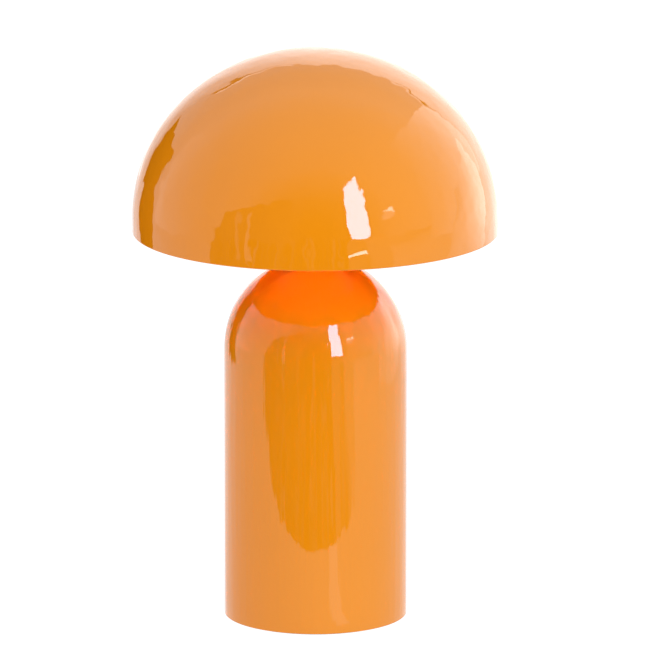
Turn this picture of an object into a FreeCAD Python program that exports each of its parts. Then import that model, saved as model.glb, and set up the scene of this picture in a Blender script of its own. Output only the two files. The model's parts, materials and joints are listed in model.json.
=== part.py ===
import FreeCAD, Part
import math
import os

from FreeCAD import Vector

# Mushroom table lamp: a spun dome shade that lifts off a spun, round-topped base.
# Millimetres, +Z up, origin at the middle of the felt foot's underside, +Y to the back.

# Base shell, one spun steel piece
BASE_DIAMETER = 140.0
BASE_STRAIGHT = 209.0
BASE_DOME_RISE = 71.0
BASE_WALL = 1.0
CROWN_DIAMETER = 30.0

# Foot: felt, closing plate and the tabs that hold the plate
FELT_PROUD = 1.0
FELT_THICKNESS = 3.0
FELT_INSET = 2.0
PLATE_THICKNESS = 2.0
PLATE_GAP = 0.4
TAB_COUNT = 3
TAB_FIRST_ANGLE = 30.0
TAB_SHEET = 2.0
TAB_WIDTH = 14.0
TAB_REACH = 15.0
TAB_LEG = 14.0
TAB_SCREW_INSET = 8.0
PLATE_SCREW_DIAMETER = 4.0
PLATE_SCREW_HEAD_DIAMETER = 7.6
PLATE_SCREW_RECESS = 0.8
PLATE_SCREW_END = 3.0
SCREW_HOLE_GAP = 0.25
SCREW_ACCESS_GAP = 1.0

# Ballast disc bolted to the closing plate
BALLAST_THICKNESS = 12.0
BALLAST_EYE_DIAMETER = 26.0
BALLAST_DRAFT = 2.0
BALLAST_EDGE = 3.0
BALLAST_TAB_GAP = 4.0
BALLAST_SCREW_COUNT = 3
BALLAST_SCREW_DIAMETER = 5.0
BALLAST_SCREW_DEPTH = 8.0
COUNTERSINK_LAND = 0.2

# Supply lead inlet, a rubber grommet in the back wall
INLET_HEIGHT = 26.0
GROMMET_BORE = 7.0
GROMMET_NECK_DIAMETER = 10.0
GROMMET_FLANGE_DIAMETER = 14.0
GROMMET_FLANGE = 2.0

# Neck: threaded tube with the pieces stacked on it
NIPPLE_DIAMETER = 10.0
NIPPLE_BORE = 7.0
NIPPLE_TAIL = 3.0
NIPPLE_PROUD = 2.0
ROD_CLEARANCE = 0.2
THREAD_CLEARANCE = 0.05
CROWN_MARGIN = 1.0
WASHER_THICKNESS = 2.0
LOCK_NUT_FLATS = 14.0
LOCK_NUT_HEIGHT = 4.0
LOCK_NUT_CHAMFER = 0.8
COLLAR_HEIGHT = 8.0
COLLAR_WAIST_DIAMETER = 19.0
COLLAR_LIP = 1.5

# Shade, one spun steel piece with a folded hem
SHADE_DIAMETER = 280.0
SHADE_SKIRT = 12.0
SHADE_DOME_RISE = 130.0
SHADE_WALL = 1.0
HEM_HEIGHT = 6.0
RIM_ABOVE_CROWN = 21.65

# Shade carrier: pressed three-arm spider, nylon seat buttons, lugs welded inside the shade
ARM_COUNT = 3
ARM_FIRST_ANGLE = 90.0
CARRIER_SHEET = 2.0
HUB_DIAMETER = 34.0
ARM_ROOT_WIDTH = 20.0
ARM_TIP_WIDTH = 15.0
ARM_BEND_RADIUS = 6.0
PAD_INNER = 10.0
PAD_OUTER = 8.0
SEAT_ABOVE_RIM = 36.0
LUG_SHEET = 1.5
LUG_WIDTH = 16.0
LUG_LEG = 18.0
LUG_HOLE_INSET = 14.0
LUG_NOSE = 9.0
WELD_GAP = 0.05
BUTTON_FLANGE = 2.0
BUTTON_FLANGE_DIAMETER = 12.0
BUTTON_SHANK_DIAMETER = 6.0
BUTTON_FOOT_DIAMETER = 8.4
BUTTON_FOOT = 2.0
BUTTON_NOSE_DIAMETER = 5.6
BUTTON_NOSE = 7.0
BUTTON_HOLE_GAP = 0.1
LUG_HOLE_GAP = 0.5

# Screw lampholder, 27 mm thread
HOLDER_WALL = 2.0
HOLDER_LEDGE = 2.0
HOLDER_NECK_DIAMETER = 20.0
HOLDER_NECK = 8.0
HOLDER_SHOULDER = 18.0
HOLDER_CAP_HEIGHT = 24.0
HOLDER_SKIRT_HEIGHT = 31.0
HOLDER_MOUTH_GAP = 1.4
HOLDER_LIP = 2.0
HOLDER_EDGE = 1.5
BLOCK_HEIGHT = 10.0
BLOCK_SEAT_DEPTH = 6.0
BLOCK_GAP = 0.2
SCREW_SHELL_GAP = 0.5
SCREW_SHELL_SHEET = 0.4
SCREW_SHELL_ROOM = 2.0
SCREW_SHELL_TOP_GAP = 0.5
CONTACT_SHEET = 0.5
CONTACT_WIDTH = 6.0
CONTACT_RISE = 3.5
CONTACT_FOOT = 5.0
CONTACT_REACH = 3.0
CONTACT_BEND_RADIUS = 0.6
GRUB_SCREW_DIAMETER = 3.0
GRUB_SCREW_PROUD = 0.4
TERMINAL_SCREW_DIAMETER = 3.0
TERMINAL_HEAD_DIAMETER = 5.6
TERMINAL_HEAD = 2.4
TERMINAL_DEPTH = 6.0
TERMINAL_SPREAD = 18.0

# Bulb, golf-ball shape with a 27 mm screw cap
BULB_DIAMETER = 45.0
BULB_LENGTH = 77.0
BULB_GLASS = 0.9
CAP_DIAMETER = 26.2
CAP_SHEET = 0.4
CAP_LENGTH = 20.0
CAP_CHAMFER = 1.6
CEMENT_GAP = 0.3
NECK_IN_CAP = 6.0
NECK_FULLNESS = 0.45
INSULATOR_HEIGHT = 4.0
TIP_DIAMETER = 9.6
TIP_HEIGHT = 2.0
TIP_GAP = 0.1
STEM_DIAMETER = 6.4
STEM_FLARE = 12.0
STEM_TOP_ROUND = 2.0
STEM_GAP = 0.2
FILAMENT_COUNT = 4
FILAMENT_DIAMETER = 1.8
FILAMENT_LENGTH = 24.0
FILAMENT_FOOT = 13.0
FILAMENT_FOOT_RADIUS = 6.0
FILAMENT_HEAD_RADIUS = 9.0
STEM_UNDER_FILAMENT_HEAD = 6.0
WIRE_DIAMETER = 0.8

# Radii and heights worked out from the sizes above
base_radius = BASE_DIAMETER / 2
base_inner_radius = base_radius - BASE_WALL
crown_radius = CROWN_DIAMETER / 2
dome_start = FELT_PROUD + BASE_STRAIGHT
crown_top = dome_start + BASE_DOME_RISE * math.sqrt(1 - (crown_radius / base_radius) ** 2)
crown_under = crown_top - BASE_WALL
plate_under = FELT_THICKNESS
plate_top = plate_under + PLATE_THICKNESS
tab_screw_radius = base_inner_radius - TAB_SCREW_INSET
ballast_radius = base_inner_radius - TAB_REACH - BALLAST_TAB_GAP
ballast_screw_circle = (ballast_radius + BALLAST_EYE_DIAMETER / 2) / 2

nipple_radius = NIPPLE_DIAMETER / 2
rod_hole_radius = nipple_radius + ROD_CLEARANCE
thread_radius = nipple_radius + THREAD_CLEARANCE
collar_foot_radius = crown_radius - CROWN_MARGIN
hub_under = crown_top + COLLAR_HEIGHT
hub_top = hub_under + CARRIER_SHEET
washer_under = crown_under - WASHER_THICKNESS
lock_nut_under = washer_under - LOCK_NUT_HEIGHT

shade_radius = SHADE_DIAMETER / 2
shade_inner_radius = shade_radius - SHADE_WALL
rim = crown_top + RIM_ABOVE_CROWN
skirt_top = rim + SHADE_SKIRT
shade_top = skirt_top + SHADE_DOME_RISE
seat = rim + SEAT_ABOVE_RIM
seat_lean = (seat - skirt_top) / (SHADE_DOME_RISE - SHADE_WALL)
seat_radius = shade_inner_radius * math.sqrt(1 - max(seat_lean, 0) ** 2) - LUG_HOLE_INSET
pad_top = seat - BUTTON_FLANGE
pad_under = pad_top - CARRIER_SHEET

cap_radius = CAP_DIAMETER / 2
screw_shell_bore_radius = cap_radius + SCREW_SHELL_GAP
screw_shell_radius = screw_shell_bore_radius + SCREW_SHELL_SHEET
holder_bore_radius = screw_shell_radius + SCREW_SHELL_ROOM
holder_seat_radius = holder_bore_radius + HOLDER_LEDGE
holder_radius = holder_seat_radius + HOLDER_WALL
holder_mouth_radius = cap_radius + HOLDER_MOUTH_GAP
holder_neck_radius = HOLDER_NECK_DIAMETER / 2
holder_floor = hub_top + HOLDER_NECK + HOLDER_WALL
holder_split = hub_top + HOLDER_CAP_HEIGHT
holder_top = holder_split + HOLDER_SKIRT_HEIGHT
block_under = holder_split - BLOCK_SEAT_DEPTH
block_top = block_under + BLOCK_HEIGHT
contact_top = block_top + CONTACT_RISE + CONTACT_SHEET

tip_under = contact_top + TIP_GAP
tip_top = tip_under + TIP_HEIGHT
cap_under = tip_top + INSULATOR_HEIGHT
cap_top = cap_under + CAP_LENGTH
cap_mouth_radius = cap_radius - CAP_CHAMFER
glass_neck_radius = cap_radius - CAP_SHEET - CEMENT_GAP
glass_top = tip_under + BULB_LENGTH
glass_equator = glass_top - BULB_DIAMETER / 2
filament_foot = cap_top + FILAMENT_FOOT
filament_head = filament_foot + FILAMENT_LENGTH
stem_top = filament_head - STEM_UNDER_FILAMENT_HEAD

TALL = 2 * (shade_top + SHADE_DIAMETER)


def point(radius, height):
    """A point of the plane that profiles are drawn in."""
    return Vector(radius, 0, height)


class Profile:
    """An outline in the radius-height plane, drawn edge by edge and then turned or extruded."""

    def __init__(self, radius, height):
        self.first = self.here = point(radius, height)
        self.edges = []

    def to(self, radius, height):
        """A straight edge to a point."""
        return self.add(Part.LineSegment(self.here, point(radius, height)).toShape(), radius, height)

    def quarter(self, corner, end):
        """A quarter of an ellipse, tangent to the two sides that meet at the corner."""
        curve = Part.BezierCurve()
        curve.setPoles([self.here, point(*corner), point(*end)])
        curve.setWeight(2, math.sqrt(0.5))
        return self.add(curve.toShape(), *end)

    def sway(self, first_pull, second_pull, end):
        """A smooth curve that leaves and arrives along its two pull points."""
        curve = Part.BezierCurve()
        curve.setPoles([self.here, point(*first_pull), point(*second_pull), point(*end)])
        return self.add(curve.toShape(), *end)

    def add(self, edge, radius, height):
        self.edges.append(edge)
        self.here = point(radius, height)
        return self

    def face(self):
        if self.here.distanceToPoint(self.first) > 1e-6:
            self.to(self.first.x, self.first.z)
        return Part.Face(Part.Wire(self.edges))

    def turned(self):
        """The outline turned once round the Z axis."""
        return self.face().revolve(Vector(0, 0, 0), Vector(0, 0, 1), 360)


def dome_edge(radius, start, rise, end_radius):
    """Part of an elliptic dome's outline, from its widest point up to a smaller radius."""
    curve = Part.BezierCurve()
    curve.setPoles([point(radius, start), point(radius, start + rise), point(0, start + rise)])
    curve.setWeight(2, math.sqrt(0.5))
    end = point(end_radius, start + rise * math.sqrt(1 - (end_radius / radius) ** 2))
    return curve.toShape(0, curve.parameter(end))


def upright(radius, bottom, top, x=0.0, y=0.0):
    """A round bar along Z."""
    return Part.makeCylinder(radius, top - bottom, Vector(x, y, bottom))


def ring(inner_radius, outer_radius, bottom, top):
    return upright(outer_radius, bottom, top).cut(upright(inner_radius, bottom, top))


def at_angle(shape, angle):
    """A copy turned about the lamp's axis."""
    turned = shape.copy()
    turned.rotate(Vector(0, 0, 0), Vector(0, 0, 1), angle)
    return turned


def evenly(shape, count, first_angle):
    """Copies spaced evenly about the lamp's axis."""
    return [at_angle(shape, first_angle + 360.0 * i / count) for i in range(count)]


def cut_all(shape, tools):
    return shape.cut(tools).removeSplitter()


def one_solid(shape):
    """The single solid that a fuse or cut should leave."""
    if len(shape.Solids) != 1:
        raise ValueError(f"expected one solid, found {len(shape.Solids)}")
    return shape.Solids[0]


def tongue(start, end, root_width, tip_width, bottom, top):
    """A bar along +X, seen from above: straight sides that may taper, and a full round end."""
    tip_radius = tip_width / 2
    round_start = end - tip_radius
    corners = [
        Vector(round_start, tip_radius, bottom),
        Vector(start, root_width / 2, bottom),
        Vector(start, -root_width / 2, bottom),
        Vector(round_start, -tip_radius, bottom),
    ]
    edges = [Part.LineSegment(a, b).toShape() for a, b in zip(corners, corners[1:])]
    edges.append(Part.Arc(corners[3], Vector(end, 0, bottom), corners[0]).toShape())
    return Part.Face(Part.Wire(edges)).extrude(Vector(0, 0, top - bottom))


def rounded_path(points, radii):
    """Edges along the points, with a tangent arc of the given radius at each inner point."""
    edges = []
    here = points[0]
    for before, corner, after, radius in zip(points, points[1:], points[2:], radii):
        back = (before - corner).normalize()
        ahead = (after - corner).normalize()
        half_angle = back.getAngle(ahead) / 2
        enter = corner + back * (radius / math.tan(half_angle))
        leave = corner + ahead * (radius / math.tan(half_angle))
        middle = corner + (back + ahead).normalize() * (radius / math.sin(half_angle) - radius)
        edges.append(Part.LineSegment(here, enter).toShape())
        edges.append(Part.Arc(enter, middle, leave).toShape())
        here = leave
    edges.append(Part.LineSegment(here, points[-1]).toShape())
    return edges


def bent_strip(start, low, high, first_bend, second_bend, end, sheet, bend_radius, width):
    """Flat sheet bent up and then level again, in the XZ plane, with its width along Y.

    low and high are the undersides of the level stretches, and the bends are where they meet the slope.
    """
    slope = math.atan2(high - low, second_bend - first_bend)
    shift = sheet * math.tan(slope / 2)
    lower = [point(start, low), point(first_bend, low), point(second_bend, high), point(end, high)]
    upper = [
        point(start, low + sheet),
        point(first_bend - shift, low + sheet),
        point(second_bend - shift, high + sheet),
        point(end, high + sheet),
    ]
    edges = rounded_path(lower, [bend_radius + sheet, bend_radius])
    edges.append(Part.LineSegment(lower[-1], upper[-1]).toShape())
    edges += rounded_path(upper, [bend_radius, bend_radius + sheet])
    edges.append(Part.LineSegment(upper[0], lower[0]).toShape())
    face = Part.Face(Part.Wire(Part.__sortEdges__(edges)))
    face.translate(Vector(0, -width / 2, 0))
    return face.extrude(Vector(0, width, 0))


# Base

def base_shell():
    inner_rise = BASE_DOME_RISE - BASE_WALL
    inner_flat_radius = base_inner_radius * math.sqrt(1 - ((crown_under - dome_start) / inner_rise) ** 2)
    profile = Profile(base_radius, FELT_PROUD)
    profile.to(base_radius, dome_start)
    outer_dome = dome_edge(base_radius, dome_start, BASE_DOME_RISE, crown_radius)
    profile.add(outer_dome, crown_radius, crown_top)
    profile.to(rod_hole_radius, crown_top)
    profile.to(rod_hole_radius, crown_under)
    profile.to(inner_flat_radius, crown_under)
    inner_dome = dome_edge(base_inner_radius, dome_start, inner_rise, inner_flat_radius)
    profile.add(inner_dome, base_inner_radius, dome_start)
    profile.to(base_inner_radius, FELT_PROUD)
    inlet = bar_along_y(GROMMET_NECK_DIAMETER / 2 + WELD_GAP, 0, BASE_DIAMETER)
    return profile.turned().cut(inlet)


def bar_along_y(radius, start, end):
    """A round bar through the back wall at the height of the inlet."""
    return Part.makeCylinder(radius, end - start, Vector(0, start, INLET_HEIGHT), Vector(0, 1, 0))


def cord_grommet():
    """A rubber spool whose two flanges follow the round wall that it sits in."""
    outer_face = base_radius + GROMMET_FLANGE + WELD_GAP
    inner_face = base_inner_radius - GROMMET_FLANGE - WELD_GAP
    flange = bar_along_y(GROMMET_FLANGE_DIAMETER / 2, inner_face, outer_face)
    wall = ring(base_inner_radius - WELD_GAP, base_radius + WELD_GAP, 0, 2 * INLET_HEIGHT)
    neck = bar_along_y(GROMMET_NECK_DIAMETER / 2, inner_face, outer_face)
    bore = bar_along_y(GROMMET_BORE / 2, 0, BASE_DIAMETER)
    return one_solid(flange.cut(wall).fuse(neck).removeSplitter().cut(bore))


def shell_tabs():
    """Angle tabs spot-welded to the shell, whose level legs take the plate screws."""
    outside = base_inner_radius - WELD_GAP
    top = plate_top + TAB_LEG
    blank = tongue(-base_radius, TAB_REACH - base_inner_radius, TAB_WIDTH, TAB_WIDTH, plate_top, top)
    blank = at_angle(blank, 180).common(upright(outside, plate_top, top))
    blank = blank.cut(upright(outside - TAB_SHEET, plate_top + TAB_SHEET, top))
    hole = upright(PLATE_SCREW_DIAMETER / 2 + THREAD_CLEARANCE, 0, TALL, tab_screw_radius)
    return evenly(one_solid(blank.cut(hole)), TAB_COUNT, TAB_FIRST_ANGLE)


def base_plate():
    disc = upright(base_inner_radius - PLATE_GAP, plate_under, plate_top)
    tab_hole = upright(PLATE_SCREW_DIAMETER / 2 + SCREW_HOLE_GAP, 0, TALL, tab_screw_radius)
    holes = evenly(tab_hole, TAB_COUNT, TAB_FIRST_ANGLE)
    holes += evenly(countersunk_screw(SCREW_HOLE_GAP / 2), BALLAST_SCREW_COUNT, ARM_FIRST_ANGLE)
    return one_solid(cut_all(disc, holes))


def plate_screws():
    """Pan-head screws, their heads sunk in the felt's access holes."""
    head = FELT_THICKNESS - PLATE_SCREW_RECESS
    head_radius = PLATE_SCREW_HEAD_DIAMETER / 2
    shank_radius = PLATE_SCREW_DIAMETER / 2
    profile = Profile(0, plate_under - head)
    profile.quarter((head_radius, plate_under - head), (head_radius, plate_under - head / 3))
    profile.to(head_radius, plate_under)
    profile.to(shank_radius, plate_under)
    profile.to(shank_radius, plate_top + TAB_SHEET + PLATE_SCREW_END)
    profile.to(0, plate_top + TAB_SHEET + PLATE_SCREW_END)
    screw = profile.turned()
    screw.translate(Vector(tab_screw_radius, 0, 0))
    return evenly(screw, TAB_COUNT, TAB_FIRST_ANGLE)


def countersunk_screw(gap=0.0):
    """A flat-head screw flush with the plate's underside, or with a gap the hole that it needs."""
    shank_radius = BALLAST_SCREW_DIAMETER / 2 + gap
    cone = PLATE_THICKNESS - COUNTERSINK_LAND
    end = plate_top + BALLAST_SCREW_DEPTH + gap
    profile = Profile(0, plate_under)
    profile.to(shank_radius + cone, plate_under)
    profile.to(shank_radius, plate_under + cone)
    profile.to(shank_radius, end)
    profile.to(0, end)
    screw = profile.turned()
    screw.translate(Vector(ballast_screw_circle, 0, 0))
    return screw


def ballast_screws():
    return evenly(countersunk_screw(), BALLAST_SCREW_COUNT, ARM_FIRST_ANGLE)


def ballast_disc():
    """Cast-iron weight with a drafted side, a rounded top edge and a cored eye."""
    top = plate_top + BALLAST_THICKNESS
    top_radius = ballast_radius - BALLAST_DRAFT
    eye_radius = BALLAST_EYE_DIAMETER / 2
    profile = Profile(eye_radius, plate_top)
    profile.to(ballast_radius, plate_top)
    profile.to(top_radius, top - BALLAST_EDGE)
    profile.quarter((top_radius, top), (top_radius - BALLAST_EDGE, top))
    profile.to(eye_radius, top)
    holes = evenly(countersunk_screw(THREAD_CLEARANCE), BALLAST_SCREW_COUNT, ARM_FIRST_ANGLE)
    return one_solid(cut_all(profile.turned(), holes))


def felt_pad():
    disc = upright(base_inner_radius - FELT_INSET, 0, FELT_THICKNESS)
    access_radius = PLATE_SCREW_HEAD_DIAMETER / 2 + SCREW_ACCESS_GAP
    access = upright(access_radius, 0, FELT_THICKNESS, tab_screw_radius)
    return one_solid(cut_all(disc, evenly(access, TAB_COUNT, TAB_FIRST_ANGLE)))


# Neck

def nipple():
    return ring(NIPPLE_BORE / 2, nipple_radius, lock_nut_under - NIPPLE_TAIL, holder_floor + NIPPLE_PROUD)


def spread_washer():
    return ring(rod_hole_radius, collar_foot_radius, washer_under, crown_under)


def lock_nut():
    """Thin hexagon nut with both faces chamfered."""
    corner_radius = LOCK_NUT_FLATS / math.sqrt(3)
    turns = [k * math.pi / 3 for k in range(7)]
    corners = [Vector(math.cos(turn), math.sin(turn), 0) * corner_radius for turn in turns]
    hexagon = Part.Face(Part.makePolygon(corners)).extrude(Vector(0, 0, LOCK_NUT_HEIGHT))
    hexagon.translate(Vector(0, 0, lock_nut_under))
    face_radius = corner_radius - 2 * LOCK_NUT_CHAMFER
    profile = Profile(0, lock_nut_under)
    profile.to(face_radius, lock_nut_under)
    profile.to(corner_radius, lock_nut_under + LOCK_NUT_CHAMFER)
    profile.to(corner_radius, washer_under - LOCK_NUT_CHAMFER)
    profile.to(face_radius, washer_under)
    profile.to(0, washer_under)
    return one_solid(hexagon.common(profile.turned()).cut(upright(thread_radius, 0, TALL)))


def neck_collar():
    """Turned spacer with a hollowed waist, between the base's crown and the carrier."""
    waist_radius = COLLAR_WAIST_DIAMETER / 2
    lip_top = crown_top + COLLAR_LIP
    profile = Profile(rod_hole_radius, crown_top)
    profile.to(collar_foot_radius, crown_top)
    profile.to(collar_foot_radius, lip_top)
    profile.quarter((waist_radius, lip_top), (waist_radius, hub_under - COLLAR_LIP))
    profile.to(waist_radius, hub_under)
    profile.to(rod_hole_radius, hub_under)
    return profile.turned()


# Shade and what carries it

def shade():
    hem_radius = shade_inner_radius - SHADE_WALL
    profile = Profile(shade_radius, rim + SHADE_WALL)
    profile.to(shade_radius, skirt_top)
    profile.quarter((shade_radius, shade_top), (0, shade_top))
    profile.to(0, shade_top - SHADE_WALL)
    profile.quarter((shade_inner_radius, shade_top - SHADE_WALL), (shade_inner_radius, skirt_top))
    profile.to(shade_inner_radius, rim + HEM_HEIGHT)
    profile.to(hem_radius, rim + HEM_HEIGHT - SHADE_WALL)
    profile.to(hem_radius, rim + SHADE_WALL)
    profile.quarter((hem_radius, rim), (shade_inner_radius, rim))
    profile.quarter((shade_radius, rim), (shade_radius, rim + SHADE_WALL))
    return profile.turned()


def shade_cavity(inset):
    """The space inside the shade, drawn in from its wall by an inset."""
    radius = shade_inner_radius - inset
    top = shade_top - SHADE_WALL - inset
    profile = Profile(0, rim)
    profile.to(radius, rim)
    profile.to(radius, skirt_top)
    profile.quarter((radius, top), (0, top))
    return profile.turned()


def shade_lugs():
    """Angle lugs spot-welded inside the shade, whose holed level legs rest on the carrier's buttons."""
    top = seat + LUG_LEG
    blank = tongue(-shade_radius, LUG_NOSE - seat_radius, LUG_WIDTH, LUG_WIDTH, seat, top)
    blank = at_angle(blank, 180).common(shade_cavity(WELD_GAP))
    above_leg = upright(shade_radius, seat + LUG_SHEET, top)
    blank = blank.cut(shade_cavity(WELD_GAP + LUG_SHEET).common(above_leg))
    hole = upright(BUTTON_NOSE_DIAMETER / 2 + LUG_HOLE_GAP, 0, TALL, seat_radius)
    return evenly(one_solid(blank.cut(hole)), ARM_COUNT, ARM_FIRST_ANGLE)


def shade_carrier():
    """Spider pressed from one sheet: a flat hub and arms that bend up to level pads."""
    end = seat_radius + PAD_OUTER
    strip = bent_strip(
        0, hub_under, pad_under, HUB_DIAMETER / 2 + ARM_BEND_RADIUS, seat_radius - PAD_INNER, end,
        CARRIER_SHEET, ARM_BEND_RADIUS, ARM_ROOT_WIDTH,
    )
    outline = tongue(0, end, ARM_ROOT_WIDTH, ARM_TIP_WIDTH, hub_under, pad_top)
    arm = strip.common(outline)
    hole = upright(BUTTON_SHANK_DIAMETER / 2 + BUTTON_HOLE_GAP, 0, TALL, seat_radius)
    arms = evenly(arm.cut(hole), ARM_COUNT, ARM_FIRST_ANGLE)
    hub = upright(HUB_DIAMETER / 2, hub_under, hub_top)
    return one_solid(hub.fuse(arms).removeSplitter().cut(upright(rod_hole_radius, 0, TALL)))


def carrier_buttons():
    """Nylon buttons snapped through the pads, with a flange to rest on and a nose to centre the lug."""
    shank_radius = BUTTON_SHANK_DIAMETER / 2
    foot_radius = BUTTON_FOOT_DIAMETER / 2
    flange_radius = BUTTON_FLANGE_DIAMETER / 2
    nose_radius = BUTTON_NOSE_DIAMETER / 2
    foot_under = pad_under - BUTTON_FOOT
    profile = Profile(0, foot_under)
    profile.to(shank_radius, foot_under)
    profile.to(foot_radius, pad_under)
    profile.to(shank_radius, pad_under)
    profile.to(shank_radius, pad_top)
    profile.to(flange_radius, pad_top)
    profile.to(flange_radius, seat)
    profile.to(nose_radius, seat)
    profile.to(nose_radius, seat + BUTTON_NOSE - nose_radius)
    profile.quarter((nose_radius, seat + BUTTON_NOSE), (0, seat + BUTTON_NOSE))
    button = profile.turned()
    button.translate(Vector(seat_radius, 0, 0))
    return evenly(button, ARM_COUNT, ARM_FIRST_ANGLE)


# Lampholder

def grub_screw_bar(radius):
    """A round bar across the back of the holder's neck, up to the threaded tube."""
    height = hub_top + HOLDER_NECK / 2
    length = holder_neck_radius + GRUB_SCREW_PROUD - thread_radius
    return Part.makeCylinder(radius, length, Vector(0, thread_radius, height), Vector(0, 1, 0))


def holder_cap():
    """Lower half of the holder: a threaded neck and a bowl with a ledge for the contact block."""
    profile = Profile(thread_radius, hub_top)
    profile.to(holder_neck_radius, hub_top)
    profile.to(holder_neck_radius, hub_top + HOLDER_NECK)
    profile.quarter((holder_radius, hub_top + HOLDER_NECK), (holder_radius, hub_top + HOLDER_SHOULDER))
    profile.to(holder_radius, holder_split)
    profile.to(holder_seat_radius, holder_split)
    profile.to(holder_seat_radius, block_under)
    profile.to(holder_bore_radius, block_under)
    profile.quarter((holder_bore_radius, holder_floor), (holder_neck_radius, holder_floor))
    profile.to(thread_radius, holder_floor)
    return one_solid(profile.turned().cut(grub_screw_bar(GRUB_SCREW_DIAMETER / 2 + THREAD_CLEARANCE)))


def grub_screw():
    return grub_screw_bar(GRUB_SCREW_DIAMETER / 2)


def holder_skirt():
    """Upper half of the holder: a sleeve with a ledge that presses the block down and a lipped mouth."""
    profile = Profile(holder_seat_radius, holder_split)
    profile.to(holder_radius, holder_split)
    profile.to(holder_radius, holder_top - HOLDER_EDGE)
    profile.quarter((holder_radius, holder_top), (holder_radius - HOLDER_EDGE, holder_top))
    profile.to(holder_mouth_radius, holder_top)
    profile.to(holder_mouth_radius, holder_top - HOLDER_LIP)
    profile.to(holder_bore_radius, holder_top - HOLDER_LIP)
    profile.to(holder_bore_radius, block_top)
    profile.to(holder_seat_radius, block_top)
    return profile.turned()


def terminal_screw(gap=0.0):
    """A cheese-head screw up into the underside of the contact block."""
    shank = upright(TERMINAL_SCREW_DIAMETER / 2 + gap, block_under, block_under + TERMINAL_DEPTH + gap)
    head = upright(TERMINAL_HEAD_DIAMETER / 2, block_under - TERMINAL_HEAD, block_under)
    return head.fuse(shank).removeSplitter()


def terminal_screws():
    screws = []
    for side in (-1, 1):
        screw = terminal_screw()
        screw.translate(Vector(side * TERMINAL_SPREAD / 2, 0, 0))
        screws.append(one_solid(screw))
    return screws


def contact_block():
    """Ceramic disc clamped between the holder's two halves."""
    disc = upright(holder_seat_radius - BLOCK_GAP, block_under, block_top)
    for side in (-1, 1):
        hole = terminal_screw(THREAD_CLEARANCE)
        hole.translate(Vector(side * TERMINAL_SPREAD / 2, 0, 0))
        disc = disc.cut(hole)
    return one_solid(disc)


def screw_shell():
    """Thin sleeve that takes the bulb's cap, flanged where it stands on the block."""
    foot_radius = holder_bore_radius - BLOCK_GAP
    top = holder_top - HOLDER_LIP - SCREW_SHELL_TOP_GAP
    profile = Profile(screw_shell_bore_radius, block_top)
    profile.to(foot_radius, block_top)
    profile.to(foot_radius, block_top + SCREW_SHELL_SHEET)
    profile.to(screw_shell_radius, block_top + SCREW_SHELL_SHEET)
    profile.to(screw_shell_radius, top)
    profile.to(screw_shell_bore_radius, top)
    return profile.turned()


def centre_contact():
    """Sprung strip bent up from the block to the bulb's tip."""
    end = CONTACT_REACH
    second_bend = -CONTACT_REACH / 2
    first_bend = second_bend - CONTACT_RISE
    strip = bent_strip(
        first_bend - CONTACT_FOOT, block_top, block_top + CONTACT_RISE, first_bend, second_bend, end,
        CONTACT_SHEET, CONTACT_BEND_RADIUS, CONTACT_WIDTH,
    )
    return at_angle(strip, 90)


# Bulb

def bulb_contact():
    radius = TIP_DIAMETER / 2
    profile = Profile(0, tip_under)
    profile.quarter((radius, tip_under), (radius, tip_top))
    profile.to(0, tip_top)
    return profile.turned()


def bulb_insulator():
    """Black glass cone between the tip and the cap."""
    profile = Profile(0, tip_top)
    profile.to(TIP_DIAMETER / 2 + CAP_SHEET, tip_top)
    profile.to(cap_mouth_radius, cap_under)
    profile.to(0, cap_under)
    return profile.turned()


def bulb_cap():
    profile = Profile(cap_mouth_radius - CAP_SHEET, cap_under)
    profile.to(cap_mouth_radius, cap_under)
    profile.to(cap_radius, cap_under + CAP_CHAMFER)
    profile.to(cap_radius, cap_top)
    profile.to(cap_radius - CAP_SHEET, cap_top)
    profile.to(cap_radius - CAP_SHEET, cap_under + CAP_CHAMFER)
    return profile.turned()


def bulb_glass():
    """Round envelope whose open neck is cemented into the cap."""
    radius = BULB_DIAMETER / 2
    inner_radius = radius - BULB_GLASS
    inner_neck = glass_neck_radius - BULB_GLASS
    neck_under = cap_top - NECK_IN_CAP
    pull = NECK_FULLNESS * (glass_equator - cap_top)
    profile = Profile(glass_neck_radius, neck_under)
    profile.to(glass_neck_radius, cap_top)
    low_pull = cap_top + pull
    high_pull = glass_equator - pull
    profile.sway((glass_neck_radius, low_pull), (radius, high_pull), (radius, glass_equator))
    profile.quarter((radius, glass_top), (0, glass_top))
    profile.to(0, glass_top - BULB_GLASS)
    profile.quarter((inner_radius, glass_top - BULB_GLASS), (inner_radius, glass_equator))
    profile.sway((inner_radius, high_pull), (inner_neck, low_pull), (inner_neck, cap_top))
    profile.to(inner_neck, neck_under)
    return profile.turned()


def bulb_stem():
    """Glass stem that flares out to close the neck."""
    radius = STEM_DIAMETER / 2
    flare_radius = glass_neck_radius - BULB_GLASS - STEM_GAP
    flare_under = cap_top - NECK_IN_CAP
    profile = Profile(0, flare_under)
    profile.to(flare_radius, flare_under)
    profile.quarter((radius, flare_under), (radius, flare_under + STEM_FLARE))
    profile.to(radius, stem_top - STEM_TOP_ROUND)
    profile.quarter((radius, stem_top), (0, stem_top))
    return profile.turned()


def bar_between(start, end, diameter):
    return Part.makeCylinder(diameter / 2, (end - start).Length, start, end - start)


def led_filaments():
    """Straight filaments that lean out a little towards the top."""
    foot = point(FILAMENT_FOOT_RADIUS, filament_foot)
    head = point(FILAMENT_HEAD_RADIUS, filament_head)
    return evenly(bar_between(foot, head, FILAMENT_DIAMETER), FILAMENT_COUNT, 180.0 / FILAMENT_COUNT)


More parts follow.
